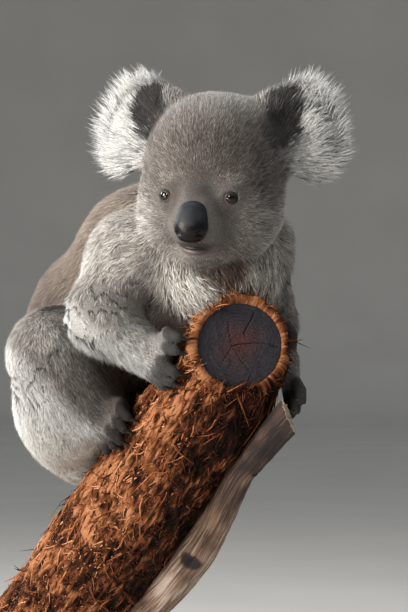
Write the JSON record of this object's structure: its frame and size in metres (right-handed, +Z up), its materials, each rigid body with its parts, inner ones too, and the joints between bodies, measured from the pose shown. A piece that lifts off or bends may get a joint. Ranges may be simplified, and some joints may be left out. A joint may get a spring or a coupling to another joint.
{
  "type": "koala",
  "caption": "Life-size still model of a koala sitting on a short leaning log, looking ahead and gripping the bark, held by a flat display base and two rods.",
  "frame": {"origin": "middle of the underside of the stand's base, which rests on the floor", "axes": "+Z up; the animal looks along -Y, turned 15 degrees towards -X; +X is on the side of its left hand"},
  "size_m": [0.4314, 0.5381, 0.712],
  "materials": {
    "grey_coat": "dense short grey coat, mottled with darker ripples",
    "back_coat": "dense brownish grey coat, paler on the rump",
    "pale_coat": "longer cream coat under the chin and on the chest",
    "paw_coat": "short dark grey coat on hands and feet",
    "ear_coat": "long white fringe round a charcoal inner ear",
    "nose_skin": "smooth dark leathery skin, slightly moist",
    "eye": "clear cornea over a dark brown iris",
    "claw": "black horn",
    "bark": "shaggy orange-brown fibrous bark, sawn dark heartwood",
    "dry_wood": "weathered bare branch",
    "stand_plate": "matt off-white paint",
    "stand_rod": "brushed"
  },
  "bodies": {
    "root": {"perch_log": "bark", "perch_branch": "dry_wood", "neck": "pale_coat", "trunk": "back_coat", "rump": "back_coat", "thigh_right": "grey_coat", "upper_arm_right": "grey_coat", "forearm_right": "grey_coat", "shank_right": "grey_coat", "hand_right": "paw_coat", "hand_right_claw_1": "claw", "hand_right_claw_2": "claw", "hand_right_claw_3": "claw", "hand_right_claw_4": "claw", "hand_right_claw_5": "claw", "foot_right": "paw_coat", "foot_right_claw_2": "claw", "foot_right_claw_3": "claw", "foot_right_claw_4": "claw", "foot_right_claw_5": "claw", "thigh_left": "grey_coat", "upper_arm_left": "grey_coat", "forearm_left": "grey_coat", "shank_left": "grey_coat", "hand_left": "paw_coat", "hand_left_claw_1": "claw", "hand_left_claw_2": "claw", "hand_left_claw_3": "claw", "hand_left_claw_4": "claw", "hand_left_claw_5": "claw", "foot_left": "paw_coat", "foot_left_claw_2": "claw", "foot_left_claw_3": "claw", "foot_left_claw_4": "claw", "foot_left_claw_5": "claw", "eye_right": "eye", "eye_left": "eye", "head": "grey_coat", "nose": "nose_skin", "muzzle": "grey_coat", "chin": "pale_coat", "ear_right": "ear_coat", "ear_left": "ear_coat", "stand_base": "stand_plate", "stand_rod_1": "stand_rod", "stand_rod_2": "stand_rod"}
  },
  "joints": []
}
